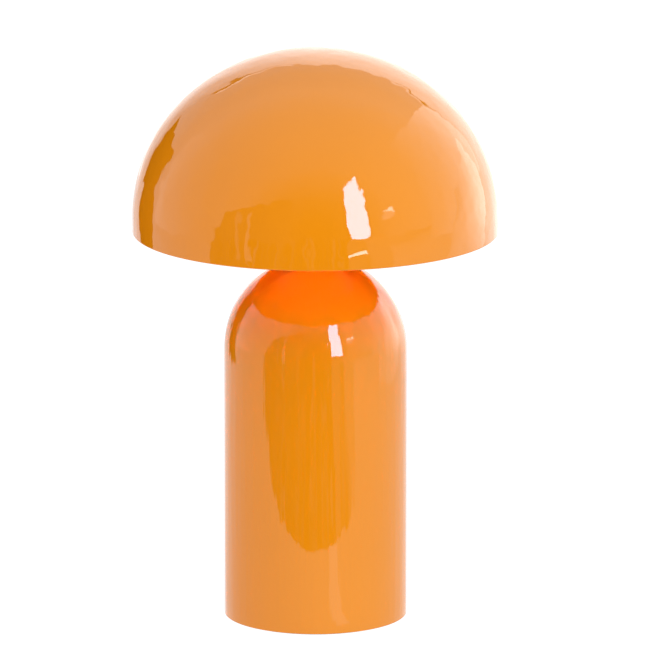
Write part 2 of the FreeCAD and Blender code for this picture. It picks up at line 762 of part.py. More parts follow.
def filament_wires():
    """Support wires from the stem to both ends of every filament."""
    low = bar_between(point(0, filament_foot), point(FILAMENT_FOOT_RADIUS, filament_foot), WIRE_DIAMETER)
    high_start = point(0, stem_top - STEM_TOP_ROUND)
    high = bar_between(high_start, point(FILAMENT_HEAD_RADIUS, filament_head), WIRE_DIAMETER)
    first_angle = 180.0 / FILAMENT_COUNT
    wires = evenly(low, FILAMENT_COUNT, first_angle) + evenly(high, FILAMENT_COUNT, first_angle)
    inside = [bulb_stem()] + led_filaments()
    return [max(wire.cut(inside).Solids, key=lambda solid: solid.Volume) for wire in wires]


NODES = {
    "base_shell": base_shell,
    "cord_grommet": cord_grommet,
    "shell_tabs": shell_tabs,
    "base_plate": base_plate,
    "plate_screws": plate_screws,
    "ballast_disc": ballast_disc,
    "ballast_screws": ballast_screws,
    "felt_pad": felt_pad,
    "threaded_nipple": nipple,
    "spread_washer": spread_washer,
    "lock_nut": lock_nut,
    "neck_collar": neck_collar,
    "shade_carrier": shade_carrier,
    "carrier_buttons": carrier_buttons,
    "holder_cap": holder_cap,
    "grub_screw": grub_screw,
    "contact_block": contact_block,
    "terminal_screws": terminal_screws,
    "centre_contact": centre_contact,
    "screw_shell": screw_shell,
    "holder_skirt": holder_skirt,
    "shade": shade,
    "shade_lugs": shade_lugs,
    "bulb_contact": bulb_contact,
    "bulb_insulator": bulb_insulator,
    "bulb_cap": bulb_cap,
    "bulb_glass": bulb_glass,
    "bulb_stem": bulb_stem,
    "led_filaments": led_filaments,
    "filament_wires": filament_wires,
}


def main():
    os.makedirs("parts", exist_ok=True)
    for name, make in NODES.items():
        made = make()
        shape = Part.makeCompound(made) if isinstance(made, list) else made
        shape.exportStep(f"parts/{name}.step")
        print(f"{name}: {len(shape.Solids)} solid(s), {shape.Volume:.0f} mm3, valid {shape.isValid()}")
    print(f"crown {crown_top:.2f}, rim {rim:.2f}, shade top {shade_top:.2f}")
    print(f"seat {seat:.2f} at radius {seat_radius:.2f}")
    print(f"holder top {holder_top:.2f}, bulb top {glass_top:.2f}")


main()
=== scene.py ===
"""Looks of the mushroom table lamp: the fine forms of its pieces, their finishes, and a plain studio.

Metres, +Z up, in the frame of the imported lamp. The camera stands on the -Y side.
"""
import json
import math

import bpy
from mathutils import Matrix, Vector


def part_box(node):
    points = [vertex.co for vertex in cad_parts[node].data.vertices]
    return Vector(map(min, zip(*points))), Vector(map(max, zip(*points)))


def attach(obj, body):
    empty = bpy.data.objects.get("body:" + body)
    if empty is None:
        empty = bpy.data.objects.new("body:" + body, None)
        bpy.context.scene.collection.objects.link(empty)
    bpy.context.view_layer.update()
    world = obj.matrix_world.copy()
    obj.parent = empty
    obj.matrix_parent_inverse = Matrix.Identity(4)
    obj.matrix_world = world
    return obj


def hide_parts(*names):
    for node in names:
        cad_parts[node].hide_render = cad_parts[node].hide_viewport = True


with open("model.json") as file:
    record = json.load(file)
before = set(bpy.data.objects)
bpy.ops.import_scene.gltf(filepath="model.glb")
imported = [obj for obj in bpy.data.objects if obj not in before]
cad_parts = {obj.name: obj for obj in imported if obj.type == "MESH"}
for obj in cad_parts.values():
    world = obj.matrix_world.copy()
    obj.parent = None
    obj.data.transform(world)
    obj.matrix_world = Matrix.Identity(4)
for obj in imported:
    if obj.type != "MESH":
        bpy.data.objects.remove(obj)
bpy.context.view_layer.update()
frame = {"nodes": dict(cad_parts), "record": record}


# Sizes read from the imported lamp

def bottom(node):
    """Height of a node's lowest point."""
    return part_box(node)[0].z


def top(node):
    """Height of a node's highest point."""
    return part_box(node)[1].z


def reach(node):
    """Radius of a node that is round about the lamp's axis."""
    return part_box(node)[1].x


shade_radius = reach("shade")
rim = bottom("shade")
shade_top = top("shade")
base_radius = reach("base_shell")
foot_edge = bottom("base_shell")
crown = top("base_shell")

# Spun shells
WALL = 0.001
SHADE_SKIRT = 0.012
HEM = 0.006
BASE_STRAIGHT = 0.209
BASE_DOME_RISE = 0.071
CROWN_RADIUS = 0.015
TUBE_HOLE_RADIUS = 0.0052
SHADE_SIDES = 176
BASE_SIDES = 144
skirt_top = rim + SHADE_SKIRT
straight_top = foot_edge + BASE_STRAIGHT

# Foot and lead inlet
FELT_EDGE = 0.0005
FELT_RINGS = 26
FELT_FUZZ = 0.00006
FELT_FUZZ_SPACING = 0.0013
FELT_SIDES = 120
SCREW_COUNT = 3
SCREW_FIRST_ANGLE = 30
SCREW_CIRCLE = 0.061
SCREW_ACCESS_RADIUS = 0.0048
SCREW_HEAD_RADIUS = 0.0038
SCREW_SHANK_RADIUS = 0.002
CROSS_LENGTH = 0.0044
CROSS_WIDTH = 0.0009
CROSS_DEPTH = 0.0014
SCREW_SIDES = 40
INLET_HEIGHT = 0.026
INLET_HOLE_RADIUS = 0.00505
INLET_RING_SHARE = 2.5
GROMMET_BORE_RADIUS = 0.0035
GROMMET_NECK_RADIUS = 0.005
GROMMET_FLANGE_RADIUS = 0.007
GROMMET_ROUND = 0.0009
GROMMET_SIDES = 48

# Neck and shade carrier
COLLAR_WAIST_RADIUS = 0.0095
COLLAR_LIP = 0.0015
COLLAR_EDGE = 0.0005
COLLAR_SIDES = 96
SHEET_EDGE = 0.00035
ARM_COUNT = 3
ARM_FIRST_ANGLE = 90
BUTTON_FLANGE_RADIUS = 0.006
BUTTON_FLANGE = 0.002
BUTTON_SHANK_RADIUS = 0.003
BUTTON_FOOT_RADIUS = 0.0042
BUTTON_NOSE_RADIUS = 0.0028
BUTTON_NOSE = 0.007
BUTTON_EDGE = 0.0005
BUTTON_SIDES = 40
PAD_SHEET = 0.002

# Lampholder
HOLDER_WALL = 0.002
HOLDER_NECK = 0.008
HOLDER_NECK_RADIUS = 0.010
HOLDER_SHOULDER = 0.018
HOLDER_MOUTH_RADIUS = 0.0145
HOLDER_BORE_RADIUS = 0.016
HOLDER_LIP = 0.002
HOLDER_EDGE = 0.0015
HOLDER_PARTING = 0.0004
HOLDER_SIDES = 96
RIB_DEPTH = 0.0005
RIB_MARGIN = 0.004
RIB_HEIGHT = 0.016
RIB_UPRIGHT_SHARE = 0.9

# Bulb
THREAD_LEAD = 0.0254 / 7
THREAD_DEPTH = 0.0011
THREAD_POINTS = 12
THREAD_STEPS = 56
CAP_SHEET = 0.0004
CAP_PLAIN = 0.0022
CAP_FOOT_IN = 0.0016
GLASS_WALL = 0.0009
GLASS_NECK_RADIUS = 0.0124
GLASS_IN_CAP = 0.006
GLASS_NECK_FULLNESS = 0.45
GLASS_SIDES = 96


# Modelling with operators

SEAM = 1e-6
SHARP_ANGLE = 35
EASED_ANGLE = 40
FLAT_ANGLE = 1
CUTTER_SIDES = 48


def pick_only(piece):
    """Select one object and make it the active one."""
    bpy.ops.object.select_all(action="DESELECT")
    piece.select_set(True)
    bpy.context.view_layer.objects.active = piece


def name_new(name):
    """Name the object that was just added."""
    piece = bpy.context.object
    piece.name = name
    piece.data.name = name
    return piece


def settle(piece):
    """Put the object at the origin with its place in its mesh, and shade it smooth up to an angle."""
    pick_only(piece)
    bpy.ops.object.transform_apply(location=True, rotation=True, scale=True)
    bpy.ops.object.shade_smooth_by_angle(angle=math.radians(SHARP_ANGLE))


def close_seams():
    """Merge the seam and the poles of a spun shape and turn its faces outwards."""
    bpy.ops.mesh.select_all(action="SELECT")
    bpy.ops.mesh.remove_doubles(threshold=SEAM)
    bpy.ops.mesh.delete_loose()
    bpy.ops.mesh.select_all(action="SELECT")
    bpy.ops.mesh.normals_make_consistent(inside=False)


def arc(centre, radii, start, end, steps):
    """Points of (radius, height) along part of an ellipse, its angles in degrees from level."""
    turns = [math.radians(start + (end - start) * step / steps) for step in range(steps + 1)]
    return [(centre[0] + radii[0] * math.cos(t), centre[1] + radii[1] * math.sin(t)) for t in turns]


def sway(start, first_pull, second_pull, end, steps):
    """Points along a smooth curve that leaves and arrives along its two pull points."""
    points = []
    for step in range(steps + 1):
        t = step / steps
        shares = ((1 - t) ** 3, 3 * t * (1 - t) ** 2, 3 * t * t * (1 - t), t ** 3)
        corners = (start, first_pull, second_pull, end)
        points.append(tuple(sum(s * c[axis] for s, c in zip(shares, corners)) for axis in (0, 1)))
    return points


def pulled_line(name, outline):
    """One point, pulled along the outline's (radius, height) points. Leaves the piece in edit mode."""
    bpy.ops.object.select_all(action="DESELECT")
    radius, height = outline[0]
    bpy.ops.mesh.primitive_plane_add(size=WALL, location=(radius, 0, height))
    piece = name_new(name)
    bpy.ops.object.mode_set(mode="EDIT")
    bpy.ops.mesh.merge(type="CENTER")
    for here, there in zip(outline, outline[1:]):
        step = (there[0] - here[0], 0, there[1] - here[1])
        bpy.ops.mesh.extrude_region_move(TRANSFORM_OT_translate={"value": step})
    return piece


def turned(name, outline, sides):
    """A piece spun about the lamp's axis from its outline."""
    piece = pulled_line(name, outline)
    bpy.ops.mesh.select_all(action="SELECT")
    bpy.ops.mesh.spin(steps=sides, angle=math.tau, center=(0, 0, 0), axis=(0, 0, 1))
    close_seams()
    bpy.ops.object.mode_set(mode="OBJECT")
    settle(piece)
    return piece


def swing(piece, angle, axis):
    """Turn a piece about an axis through the origin, by the right-hand rule, in degrees."""
    pick_only(piece)
    # With no window, this operator turns the other way.
    bpy.ops.transform.rotate(value=-math.radians(angle), orient_axis=axis, center_override=(0, 0, 0))
    bpy.ops.object.transform_apply(location=True, rotation=True, scale=True)


def shift(piece, offset):
    """Move a piece, with its place kept in its mesh."""
    pick_only(piece)
    bpy.ops.transform.translate(value=offset)
    bpy.ops.object.transform_apply(location=True, rotation=True, scale=True)


def round_bar(radius, length, middle, lie_along_y=False):
    """A plain bar to cut with."""
    bpy.ops.object.select_all(action="DESELECT")
    tilt = (math.pi / 2, 0, 0) if lie_along_y else (0, 0, 0)
    bpy.ops.mesh.primitive_cylinder_add(vertices=CUTTER_SIDES, radius=radius, depth=length, location=middle,
                                        rotation=tilt)
    return bpy.context.object


def block(size, middle, turn=0.0):
    """A plain block to cut with, turned about Z."""
    bpy.ops.object.select_all(action="DESELECT")
    bpy.ops.mesh.primitive_cube_add(size=1, location=middle, rotation=(0, 0, math.radians(turn)), scale=size)
    return bpy.context.object


def apply_modifier(piece, kind, **settings):
    """Add one modifier with its settings and apply it."""
    pick_only(piece)
    modifier = piece.modifiers.new(kind.lower(), kind)
    for name, value in settings.items():
        setattr(modifier, name, value)
    bpy.ops.object.modifier_apply(modifier=modifier.name)


def cut_away(piece, cutter):
    """Cut a shape out of a piece and throw the cutter away."""
    apply_modifier(piece, "BOOLEAN", object=cutter, operation="DIFFERENCE", solver="EXACT")
    bpy.data.objects.remove(cutter)


def ease_edges(piece, width, segments=2):
    """Round off a piece's sharp edges."""
    apply_modifier(piece, "BEVEL", width=width, segments=segments, limit_method="ANGLE",
                   angle_limit=math.radians(EASED_ANGLE))


def copies_about_axis(piece, count, first_angle):
    """Copies of a piece modelled at angle 0, spaced evenly about the lamp's axis, each with its own mesh."""
    name = piece.name
    copies = []
    for number in range(count):
        pick_only(piece)
        bpy.ops.object.duplicate()
        copy = name_new(f"{name}_{number + 1}")
        swing(copy, first_angle + 360 * number / count, "Z")
        copies.append(copy)
    bpy.data.objects.remove(piece)
    return copies


def eased_copy(name, node, edge):
    """A copy of a pressed sheet node, its triangles merged to faces and its sharp edges eased."""
    piece = bpy.data.objects.new(name, frame["nodes"][node].data.copy())
    bpy.context.scene.collection.objects.link(piece)
    piece.data.name = name
    pick_only(piece)
    bpy.ops.object.mode_set(mode="EDIT")
    bpy.ops.mesh.select_all(action="SELECT")
    bpy.ops.mesh.remove_doubles(threshold=SEAM)
    bpy.ops.mesh.dissolve_limited(angle_limit=math.radians(FLAT_ANGLE))
    bpy.ops.object.mode_set(mode="OBJECT")
    ease_edges(piece, edge)
    settle(piece)
    return piece


# Pieces of the base

def spun_base():
    """The base's shell, with the hole that its grommet sits in."""
    half_wall = WALL / 2
    inner_radius = base_radius - WALL
    inner_rise = BASE_DOME_RISE - WALL
    outer_angle = math.degrees(math.acos(CROWN_RADIUS / base_radius))
    inner_angle = math.degrees(math.asin((crown - WALL - straight_top) / inner_rise))
    ring_gap = INLET_RING_SHARE * INLET_HOLE_RADIUS
    outline = arc((base_radius - half_wall, foot_edge + half_wall), (half_wall, half_wall), 180, 360, 8)
    outline += [(base_radius, INLET_HEIGHT - ring_gap), (base_radius, INLET_HEIGHT + ring_gap)]
    outline += arc((0, straight_top), (base_radius, BASE_DOME_RISE), 0, outer_angle, 56)
    outline += [(TUBE_HOLE_RADIUS, crown), (TUBE_HOLE_RADIUS, crown - WALL)]
    outline += arc((0, straight_top), (inner_radius, inner_rise), inner_angle, 0, 40)
    outline += [(inner_radius, INLET_HEIGHT + ring_gap), (inner_radius, INLET_HEIGHT - ring_gap), outline[0]]
    piece = turned("spun_base", outline, BASE_SIDES)
    hole = round_bar(INLET_HOLE_RADIUS, base_radius, (0, base_radius, INLET_HEIGHT), lie_along_y=True)
    cut_away(piece, hole)
    settle(piece)
    return piece


def inlet_grommet():
    """Rubber spool with rounded flanges, in the back wall."""
    inner_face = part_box("cord_grommet")[0].y
    outer_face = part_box("cord_grommet")[1].y
    wall_inside = base_radius - WALL
    edge = (GROMMET_ROUND, GROMMET_ROUND)
    flange_middle = GROMMET_FLANGE_RADIUS - GROMMET_ROUND
    mouth = GROMMET_BORE_RADIUS + GROMMET_ROUND
    outline = arc((mouth, inner_face + GROMMET_ROUND), edge, 180, 270, 5)
    outline += arc((flange_middle, inner_face + GROMMET_ROUND), edge, 270, 360, 5)
    outline += [(GROMMET_FLANGE_RADIUS, wall_inside), (GROMMET_NECK_RADIUS, wall_inside)]
    wall_outside = math.sqrt(base_radius ** 2 - GROMMET_FLANGE_RADIUS ** 2)
    outline += [(GROMMET_NECK_RADIUS, wall_outside), (GROMMET_FLANGE_RADIUS, wall_outside)]
    outline += arc((flange_middle, outer_face - GROMMET_ROUND), edge, 0, 90, 5)
    outline += arc((mouth, outer_face - GROMMET_ROUND), edge, 90, 180, 5)
    piece = turned("inlet_grommet", outline + [outline[0]], GROMMET_SIDES)
    swing(piece, -90, "X")
    shift(piece, (0, 0, INLET_HEIGHT))
    return piece


def felt_foot():
    """Pressed felt disc with access holes for the plate's screws and a soft, uneven surface."""
    radius = reach("felt_pad")
    low = bottom("felt_pad") + FELT_FUZZ
    high = top("felt_pad") - FELT_FUZZ
    edge = (FELT_EDGE, FELT_EDGE)
    rings = [radius * number / FELT_RINGS for number in range(FELT_RINGS)]
    outline = [(ring, low) for ring in rings]
    outline += arc((radius - FELT_EDGE, low + FELT_EDGE), edge, 270, 360, 4)
    outline += arc((radius - FELT_EDGE, high - FELT_EDGE), edge, 0, 90, 4)
    outline += [(ring, high) for ring in reversed(rings)]
    piece = turned("felt_foot", outline, FELT_SIDES)
    for number in range(SCREW_COUNT):
        turn = math.radians(SCREW_FIRST_ANGLE + 360 * number / SCREW_COUNT)
        place = (SCREW_CIRCLE * math.cos(turn), SCREW_CIRCLE * math.sin(turn), (low + high) / 2)
        cut_away(piece, round_bar(SCREW_ACCESS_RADIUS, 2 * (high - low), place))
    fuzz = bpy.data.textures.new("felt_fuzz", "CLOUDS")
    fuzz.noise_scale = FELT_FUZZ_SPACING
    apply_modifier(piece, "DISPLACE", texture=fuzz, strength=2 * FELT_FUZZ, mid_level=0.5)
    settle(piece)
    return piece


def plate_screws():
    """Pan-head screws with a cross recess, their heads down in the felt's holes."""
    head_low = bottom("plate_screws")
    plate_low = bottom("base_plate")
    end = top("plate_screws")
    head = plate_low - head_low
    outline = arc((0, plate_low - head / 3), (SCREW_HEAD_RADIUS, 2 * head / 3), 270, 360, 10)
    outline += [(SCREW_HEAD_RADIUS, plate_low), (SCREW_SHANK_RADIUS, plate_low)]
    outline += [(SCREW_SHANK_RADIUS, end - SCREW_SHANK_RADIUS / 2), (SCREW_SHANK_RADIUS / 2, end), (0, end)]
    screw = turned("plate_screw", outline, SCREW_SIDES)
    for turn in (0, 90):
        cut_away(screw, block((CROSS_LENGTH, CROSS_WIDTH, 2 * CROSS_DEPTH), (0, 0, head_low), turn))
    ease_edges(screw, CROSS_WIDTH / 8, 1)
    settle(screw)
    shift(screw, (SCREW_CIRCLE, 0, 0))
    return copies_about_axis(screw, SCREW_COUNT, SCREW_FIRST_ANGLE)


# Pieces of the neck, the carrier and the shade

def waisted_collar():
    """Turned spacer with a hollowed waist and eased lips."""
    low = bottom("neck_collar")
    high = top("neck_collar")
    foot_radius = reach("neck_collar")
    lip_top = low + COLLAR_LIP
    edge = (COLLAR_EDGE, COLLAR_EDGE)
    hollow = (foot_radius - COLLAR_EDGE - COLLAR_WAIST_RADIUS, high - COLLAR_LIP - lip_top)
    outline = [(TUBE_HOLE_RADIUS, low), (foot_radius, low)]
    outline += arc((foot_radius - COLLAR_EDGE, lip_top - COLLAR_EDGE), edge, 0, 90, 4)
    outline += arc((foot_radius - COLLAR_EDGE, high - COLLAR_LIP), hollow, 270, 180, 16)
    outline += [(COLLAR_WAIST_RADIUS, high), (TUBE_HOLE_RADIUS, high), (TUBE_HOLE_RADIUS, low)]
    return turned("waisted_collar", outline, COLLAR_SIDES)


def seat_buttons():
    """Nylon buttons: a split foot snapped under the pad, a flange to rest on and a round nose."""
    low = bottom("carrier_buttons")
    high = top("carrier_buttons")
    seat = high - BUTTON_NOSE
    pad_top = seat - BUTTON_FLANGE
    pad_low = pad_top - PAD_SHEET
    seat_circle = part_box("carrier_buttons")[1].y - BUTTON_FLANGE_RADIUS
    edge = (BUTTON_EDGE, BUTTON_EDGE)
    flange_middle = BUTTON_FLANGE_RADIUS - BUTTON_EDGE
    outline = [(0, low), (BUTTON_SHANK_RADIUS, low), (BUTTON_FOOT_RADIUS, pad_low - BUTTON_EDGE)]
    outline += [(BUTTON_FOOT_RADIUS, pad_low), (BUTTON_SHANK_RADIUS, pad_low)]
    outline += [(BUTTON_SHANK_RADIUS, pad_top), (BUTTON_FLANGE_RADIUS, pad_top)]
    outline += arc((flange_middle, seat - BUTTON_EDGE), edge, 0, 90, 4)
    outline += [(BUTTON_NOSE_RADIUS, seat)]
    outline += arc((0, high - BUTTON_NOSE_RADIUS), (BUTTON_NOSE_RADIUS, BUTTON_NOSE_RADIUS), 0, 90, 8)
    button = turned("seat_button", outline, BUTTON_SIDES)
    slot_depth = pad_low - low
    cut_away(button, block((3 * BUTTON_FOOT_RADIUS, BUTTON_EDGE * 2, 2 * slot_depth), (0, 0, low)))
    settle(button)
    shift(button, (seat_circle, 0, 0))
    return copies_about_axis(button, ARM_COUNT, ARM_FIRST_ANGLE)


def spun_shade():
    """The dome, one spun sheet with a hem folded inwards to a full round edge."""
    rise = shade_top - skirt_top
    inner_radius = shade_radius - WALL
    edge = (WALL, WALL)
    outline = arc((inner_radius, rim + WALL), edge, 180, 360, 14)
    outline += arc((0, skirt_top), (shade_radius, rise), 0, 90, 80)
    outline += arc((0, skirt_top), (inner_radius, rise - WALL), 90, 0, 64)
    outline += arc((inner_radius, rim + HEM - WALL), edge, 90, 180, 5)
    return turned("spun_shade", outline + [outline[0]], SHADE_SIDES)


# Pieces of the lampholder

def raise_ribs(piece, low, high, depth):
    """Push every second upright facet of a band outwards, as grip ribs."""
    mesh = piece.data
    step = math.tau / HOLDER_SIDES
    pick_only(piece)
    bpy.ops.object.mode_set(mode="EDIT")
    bpy.ops.mesh.select_mode(type="FACE")
    bpy.ops.mesh.select_all(action="DESELECT")
    bpy.ops.object.mode_set(mode="OBJECT")
    for face in mesh.polygons:
        facet = int((math.atan2(face.center.y, face.center.x) % math.tau) / step)
        outward = face.normal.xy.dot(face.center.xy) > RIB_UPRIGHT_SHARE * face.center.xy.length
        face.select = outward and facet % 2 == 0 and low < face.center.z < high
    bpy.ops.object.mode_set(mode="EDIT")
    bpy.ops.mesh.extrude_region_shrink_fatten(TRANSFORM_OT_shrink_fatten={"value": depth})
    bpy.ops.mesh.select_mode(type="VERT")
    bpy.ops.object.mode_set(mode="OBJECT")


def holder_bowl():
    """Lower half of the lampholder, from its threaded neck to the parting line."""
    low = bottom("holder_cap")
    high = top("holder_cap")
    radius = reach("holder_cap")
    neck_top = low + HOLDER_NECK
    bowl = (radius - HOLDER_NECK_RADIUS, HOLDER_SHOULDER - HOLDER_NECK)
    inner = radius - HOLDER_WALL
    edge = (HOLDER_PARTING, HOLDER_PARTING)
    outline = [(TUBE_HOLE_RADIUS, low)]
    outline += arc((HOLDER_NECK_RADIUS - HOLDER_PARTING, low + HOLDER_PARTING), edge, 270, 360, 3)
    outline += arc((HOLDER_NECK_RADIUS, low + HOLDER_SHOULDER), bowl, 270, 360, 16)
    outline += [(radius, high - HOLDER_PARTING), (radius - HOLDER_PARTING, high), (inner, high)]
    outline += [(inner, low + HOLDER_SHOULDER), (HOLDER_NECK_RADIUS, neck_top + HOLDER_WALL)]
    outline += [(TUBE_HOLE_RADIUS, neck_top + HOLDER_WALL), (TUBE_HOLE_RADIUS, low)]
    return turned("holder_bowl", outline, HOLDER_SIDES)


def holder_sleeve():
    """Upper half of the lampholder: a sleeve with grip ribs and a lipped mouth."""
    low = bottom("holder_skirt")
    high = top("holder_skirt")
    radius = reach("holder_skirt")
    rib_low = low + RIB_MARGIN
    rib_high = rib_low + RIB_HEIGHT
    edge = (HOLDER_EDGE, HOLDER_EDGE)
    lip_edge = (HOLDER_PARTING, HOLDER_PARTING)
    outline = [(HOLDER_BORE_RADIUS + HOLDER_WALL, low), (radius - HOLDER_PARTING, low)]
    outline += [(radius, low + HOLDER_PARTING), (radius, rib_low), (radius, rib_high)]
    outline += arc((radius - HOLDER_EDGE, high - HOLDER_EDGE), edge, 0, 90, 8)
    outline += arc((HOLDER_MOUTH_RADIUS + HOLDER_PARTING, high - HOLDER_PARTING), lip_edge, 90, 180, 4)
    outline += [(HOLDER_MOUTH_RADIUS, high - HOLDER_LIP), (HOLDER_BORE_RADIUS, high - HOLDER_LIP)]
    outline += [(HOLDER_BORE_RADIUS, low + RIB_MARGIN), (HOLDER_BORE_RADIUS + HOLDER_WALL, low + RIB_MARGIN)]
    piece = turned("holder_sleeve", outline + [outline[0]], HOLDER_SIDES)
    raise_ribs(piece, rib_low, rib_high, RIB_DEPTH)
    ease_edges(piece, RIB_DEPTH / 4, 1)
    settle(piece)
    return piece


# Pieces of the bulb

def rolled_cap():
    """The bulb's cap: thin sheet with a rolled, round thread, a plain neck and a drawn-in foot."""
    low = bottom("bulb_cap")
    high = top("bulb_cap")
    radius = reach("bulb_cap")
    middle_radius = radius - THREAD_DEPTH / 2
    thread_low = low + CAP_FOOT_IN
    thread_high = high - CAP_PLAIN
    turns = math.ceil((thread_high - thread_low) / THREAD_LEAD) + 1
    wave = []
    for number in range(THREAD_POINTS + 1):
        share = number / THREAD_POINTS
        bulge = THREAD_DEPTH / 2 * math.cos(math.tau * share)
        wave.append((middle_radius + bulge, thread_low + (share - 1) * THREAD_LEAD))
    piece = pulled_line("rolled_cap", wave)
    bpy.ops.object.mode_set(mode="OBJECT")
    bpy.ops.object.transform_apply(location=True, rotation=True, scale=True)
    apply_modifier(piece, "SCREW", axis="Z", angle=math.tau, screw_offset=THREAD_LEAD, iterations=turns,
                   steps=THREAD_STEPS, render_steps=THREAD_STEPS, use_merge_vertices=True)
    pick_only(piece)
    bpy.ops.object.mode_set(mode="EDIT")
    close_seams()
    plain_radius = radius - CAP_SHEET
    foot_radius = radius - CAP_FOOT_IN
    trim_and_pull(thread_high, 1, [(plain_radius, CAP_PLAIN / 3), (plain_radius, 2 * CAP_PLAIN / 3)])
    trim_and_pull(thread_low, -1, [(plain_radius, -CAP_FOOT_IN / 4), (foot_radius, -3 * CAP_FOOT_IN / 4)])
    close_seams()
    bpy.ops.object.mode_set(mode="OBJECT")
    apply_modifier(piece, "SOLIDIFY", thickness=CAP_SHEET, offset=-1)
    settle(piece)
    return piece


def trim_and_pull(height, side, steps):
    """Trim the open thread at a height, above (side 1) or below (-1), and pull its edge into round rings."""
    bpy.ops.mesh.select_all(action="SELECT")
    bpy.ops.mesh.bisect(plane_co=(0, 0, height), plane_no=(0, 0, side), clear_outer=True)
    for radius, rise in steps:
        bpy.ops.mesh.extrude_region_move(TRANSFORM_OT_translate={"value": (0, 0, rise)})
        bpy.ops.transform.tosphere(value=1.0)
        height += rise
        scale = radius / mean_radius_of_selected()
        bpy.ops.transform.resize(value=(scale, scale, 1), center_override=(0, 0, height))


def mean_radius_of_selected():
    """Mean distance of the selected points from the lamp's axis."""
    piece = bpy.context.object
    piece.update_from_editmode()
    radii = [vertex.co.xy.length for vertex in piece.data.vertices if vertex.select]
    return sum(radii) / len(radii)


def blown_envelope():
    """The bulb's round glass, with its wall, and its neck that goes down into the cap."""
    radius = reach("bulb_glass")
    high = top("bulb_glass")
    cap_top = top("bulb_cap")
    equator = high - radius
    neck_low = cap_top - GLASS_IN_CAP
    pull = GLASS_NECK_FULLNESS * (equator - cap_top)
    inner_radius = radius - GLASS_WALL
    inner_neck = GLASS_NECK_RADIUS - GLASS_WALL
    outline = [(GLASS_NECK_RADIUS, neck_low)]
    outline += sway((GLASS_NECK_RADIUS, cap_top), (GLASS_NECK_RADIUS, cap_top + pull),
                    (radius, equator - pull), (radius, equator), 24)
    outline += arc((0, equator), (radius, radius), 0, 90, 32)[1:]
    outline += arc((0, equator), (inner_radius, inner_radius), 90, 0, 32)
    outline += sway((inner_radius, equator), (inner_radius, equator - pull),
                    (inner_neck, cap_top + pull), (inner_neck, cap_top), 24)[1:]
    outline += [(inner_neck, neck_low), (GLASS_NECK_RADIUS, neck_low)]
    return turned("blown_envelope", outline, GLASS_SIDES)


# Finishes

PATTERN_LOW = 0.25
PATTERN_HIGH = 0.75
PEEL_CELLS = 520
PEEL_HEIGHT = 0.000004


class Finish:
    """A material in the making: one shader, and patterns on Object coordinates.

    Its plain roughness is for viewers that read no patterns.
    """

    def __init__(self, name, roughness, metallic=0.0, **constants):
        self.material = bpy.data.materials.new(name)
        self.material.use_nodes = True
        self.nodes = self.material.node_tree.nodes
        self.links = self.material.node_tree.links
        self.shader = self.nodes["Principled BSDF"]
        self.shader.inputs["Roughness"].default_value = roughness
        self.shader.inputs["Metallic"].default_value = metallic
        for socket, value in constants.items():
            self.shader.inputs[socket.replace("_", " ")].default_value = value
        self.place = self.nodes.new("ShaderNodeTexCoord").outputs["Object"]

    def stretched(self, scale):
        """Object coordinates, finer along an axis where its scale is larger."""
        mapping = self.nodes.new("ShaderNodeMapping")
        mapping.inputs["Scale"].default_value = scale
        self.links.new(self.place, mapping.inputs["Vector"])
        return mapping.outputs["Vector"]

    def noise(self, scale, detail=2.0, roughness=0.5, stretch=(1, 1, 1)):
        """Cloudy pattern with this many cells to the metre."""
        texture = self.nodes.new("ShaderNodeTexNoise")
        texture.inputs["Scale"].default_value = scale
        texture.inputs["Detail"].default_value = detail
        texture.inputs["Roughness"].default_value = roughness
        self.links.new(self.stretched(stretch), texture.inputs["Vector"])
        return texture.outputs["Fac"]

    def cells(self, scale):
        """Small cells of random tone, this many to the metre."""
        texture = self.nodes.new("ShaderNodeTexVoronoi")
        texture.inputs["Scale"].default_value = scale
        self.links.new(self.place, texture.inputs["Vector"])
        return texture.outputs["Distance"]

    def bands(self, scale, direction):
        """Soft bands along one axis, this many to the metre."""
        texture = self.nodes.new("ShaderNodeTexWave")
        texture.bands_direction = direction
        texture.inputs["Scale"].default_value = scale
        self.links.new(self.place, texture.inputs["Vector"])
        return texture.outputs["Fac"]

    def colour(self, pattern, *stops):
        """Base colour from a pattern, as (share, red, green, blue) stops."""
        ramp = self.nodes.new("ShaderNodeValToRGB")
        while len(ramp.color_ramp.elements) < len(stops):
            ramp.color_ramp.elements.new(0.5)
        for element, (share, *rgb) in zip(ramp.color_ramp.elements, stops):
            element.position = share
            element.color = (*rgb, 1)
        self.links.new(pattern, ramp.inputs["Fac"])
        self.links.new(ramp.outputs["Color"], self.shader.inputs["Base Color"])
        return self

    def roughness(self, pattern, low, high):
        """Roughness that follows a pattern between two values."""
        spread = self.nodes.new("ShaderNodeMapRange")
        spread.inputs["From Min"].default_value = PATTERN_LOW
        spread.inputs["From Max"].default_value = PATTERN_HIGH
        spread.inputs["To Min"].default_value = low
        spread.inputs["To Max"].default_value = high
        self.links.new(pattern, spread.inputs["Value"])
        self.links.new(spread.outputs["Result"], self.shader.inputs["Roughness"])
        return self

    def relief(self, *layers):
        """Fine relief from (pattern, height in metres) layers, coarse to fine."""
        normal = None
        for pattern, height in layers:
            bump = self.nodes.new("ShaderNodeBump")
            bump.inputs["Distance"].default_value = height
            self.links.new(pattern, bump.inputs["Height"])
            if normal:
                self.links.new(normal, bump.inputs["Normal"])
            normal = bump.outputs["Normal"]
        self.links.new(normal, self.shader.inputs["Normal"])
        return self


